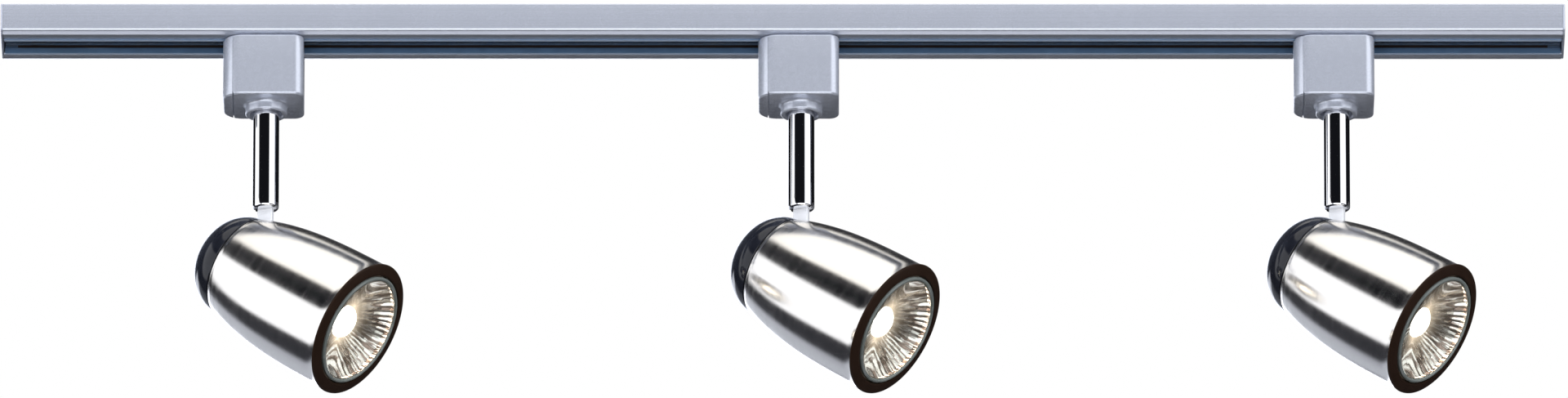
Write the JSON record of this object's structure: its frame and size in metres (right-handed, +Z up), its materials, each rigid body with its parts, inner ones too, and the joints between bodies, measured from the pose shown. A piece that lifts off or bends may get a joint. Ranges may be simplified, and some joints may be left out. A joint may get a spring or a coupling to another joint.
{
  "type": "track lighting fixture",
  "caption": "Low-profile ceiling track carrying adjustable spotlights; each spot slides on an adaptor, pans on a chrome stem and tilts at a knuckle.",
  "frame": {"origin": "centre of the track's ceiling face", "axes": "+X along the track, +Y across it towards the back, +Z up into the ceiling"},
  "size_m": [0.682, 0.0728, 0.1769],
  "materials": {
    "rail_aluminium": "satin silver lacquer on extruded aluminium",
    "cap_plastic": "satin silver moulded plastic",
    "liner_plastic": "blue-black extruded insulation",
    "copper": "bare drawn copper",
    "terminal_plastic": "moulded black",
    "brass": "plain machined",
    "adaptor_plastic": "silver paint on moulded plastic",
    "carrier_plastic": "moulded black",
    "spring_steel": "drawn spring wire",
    "stem_chrome": "mirror polished",
    "pin_steel": "turned",
    "knuckle_metal": "polished plate",
    "dome_black": "black nickel, polished",
    "barrel_steel": "spun and brushed round the axis, clear coated",
    "ring_enamel": "dark brown satin enamel",
    "lamp_reflector": "pressed glass bowl with a faceted mirror coat",
    "lamp_lens": "clear pressed glass over a lit halogen capsule",
    "ceramic": "unglazed",
    "bracket_steel": "zinc plated sheet",
    "wire_insulation": "silicone rubber insulation"
  },
  "bodies": {
    "track": {"rail": "rail_aluminium", "liner_front": "liner_plastic", "liner_rear": "liner_plastic", "conductors": "copper", "earth_strip": "copper", "terminal_block": "terminal_plastic", "terminal_screws": "brass", "end_feed_cap": "cap_plastic", "dead_end_cap": "cap_plastic"},
    "left_adaptor": {"left_adaptor_housing": "adaptor_plastic", "left_contact_carrier": "carrier_plastic", "left_contacts": "brass"},
    "left_latch": {"left_latch": "adaptor_plastic", "left_latch_spring": "spring_steel"},
    "left_stem": {"left_stem_tube": "stem_chrome", "left_stem_nut": "brass", "left_pivot_pin": "pin_steel"},
    "left_head": {"left_knuckle": "knuckle_metal", "left_rear_dome": "dome_black", "left_barrel": "barrel_steel", "left_front_ring": "ring_enamel", "left_lamp_body": "lamp_reflector", "left_lamp_lens": "lamp_lens", "left_lampholder": "ceramic", "left_holder_bracket": "bracket_steel", "left_head_wires": "wire_insulation"},
    "middle_adaptor": {"middle_adaptor_housing": "adaptor_plastic", "middle_contact_carrier": "carrier_plastic", "middle_contacts": "brass"},
    "middle_latch": {"middle_latch": "adaptor_plastic", "middle_latch_spring": "spring_steel"},
    "middle_stem": {"middle_stem_tube": "stem_chrome", "middle_stem_nut": "brass", "middle_pivot_pin": "pin_steel"},
    "middle_head": {"middle_knuckle": "knuckle_metal", "middle_rear_dome": "dome_black", "middle_barrel": "barrel_steel", "middle_front_ring": "ring_enamel", "middle_lamp_body": "lamp_reflector", "middle_lamp_lens": "lamp_lens", "middle_lampholder": "ceramic", "middle_holder_bracket": "bracket_steel", "middle_head_wires": "wire_insulation"},
    "right_adaptor": {"right_adaptor_housing": "adaptor_plastic", "right_contact_carrier": "carrier_plastic", "right_contacts": "brass"},
    "right_latch": {"right_latch": "adaptor_plastic", "right_latch_spring": "spring_steel"},
    "right_stem": {"right_stem_tube": "stem_chrome", "right_stem_nut": "brass", "right_pivot_pin": "pin_steel"},
    "right_head": {"right_knuckle": "knuckle_metal", "right_rear_dome": "dome_black", "right_barrel": "barrel_steel", "right_front_ring": "ring_enamel", "right_lamp_body": "lamp_reflector", "right_lamp_lens": "lamp_lens", "right_lampholder": "ceramic", "right_holder_bracket": "bracket_steel", "right_head_wires": "wire_insulation"}
  },
  "joints": [
    {"name": "left_track_slide", "type": "slide", "parent": "track", "child": "left_adaptor", "axis": [1, 0, 0], "range_m": [-0.045, 0.03]},
    {"name": "left_latch_pull", "type": "slide", "parent": "left_adaptor", "child": "left_latch", "axis": [0, 0, -1], "range_m": [0, 0.004], "stiffness_N_per_m": 500, "springref_m": -0.003, "deforming": ["left_latch_spring"]},
    {"name": "left_stem_pan", "type": "hinge", "parent": "left_adaptor", "child": "left_stem", "pos_m": [-0.2252, 0, -0.0453], "axis": [0, 0, 1], "range_deg": [-170, 170]},
    {"name": "left_head_tilt", "type": "hinge", "parent": "left_stem", "child": "left_head", "pos_m": [-0.2252, 0, -0.0849], "axis": [-0.3891, -0.9212, 0], "range_deg": [-56.6, 33.4]},
    {"name": "middle_track_slide", "type": "slide", "parent": "track", "child": "middle_adaptor", "axis": [1, 0, 0], "range_m": [-0.03, 0.03]},
    {"name": "middle_latch_pull", "type": "slide", "parent": "middle_adaptor", "child": "middle_latch", "axis": [0, 0, -1], "range_m": [0, 0.004], "stiffness_N_per_m": 500, "springref_m": -0.003, "deforming": ["middle_latch_spring"]},
    {"name": "middle_stem_pan", "type": "hinge", "parent": "middle_adaptor", "child": "middle_stem", "pos_m": [0.0081, 0, -0.0453], "axis": [0, 0, 1], "range_deg": [-170, 170]},
    {"name": "middle_head_tilt", "type": "hinge", "parent": "middle_stem", "child": "middle_head", "pos_m": [0.0081, 0, -0.0849], "axis": [-0.3891, -0.9212, 0], "range_deg": [-56.6, 33.4]},
    {"name": "right_track_slide", "type": "slide", "parent": "track", "child": "right_adaptor", "axis": [1, 0, 0], "range_m": [-0.03, 0.06]},
    {"name": "right_latch_pull", "type": "slide", "parent": "right_adaptor", "child": "right_latch", "axis": [0, 0, -1], "range_m": [0, 0.004], "stiffness_N_per_m": 500, "springref_m": -0.003, "deforming": ["right_latch_spring"]},
    {"name": "right_stem_pan", "type": "hinge", "parent": "right_adaptor", "child": "right_stem", "pos_m": [0.2414, 0, -0.0453], "axis": [0, 0, 1], "range_deg": [-170, 170]},
    {"name": "right_head_tilt", "type": "hinge", "parent": "right_stem", "child": "right_head", "pos_m": [0.2414, 0, -0.0849], "axis": [-0.3891, -0.9212, 0], "range_deg": [-56.6, 33.4]}
  ]
}
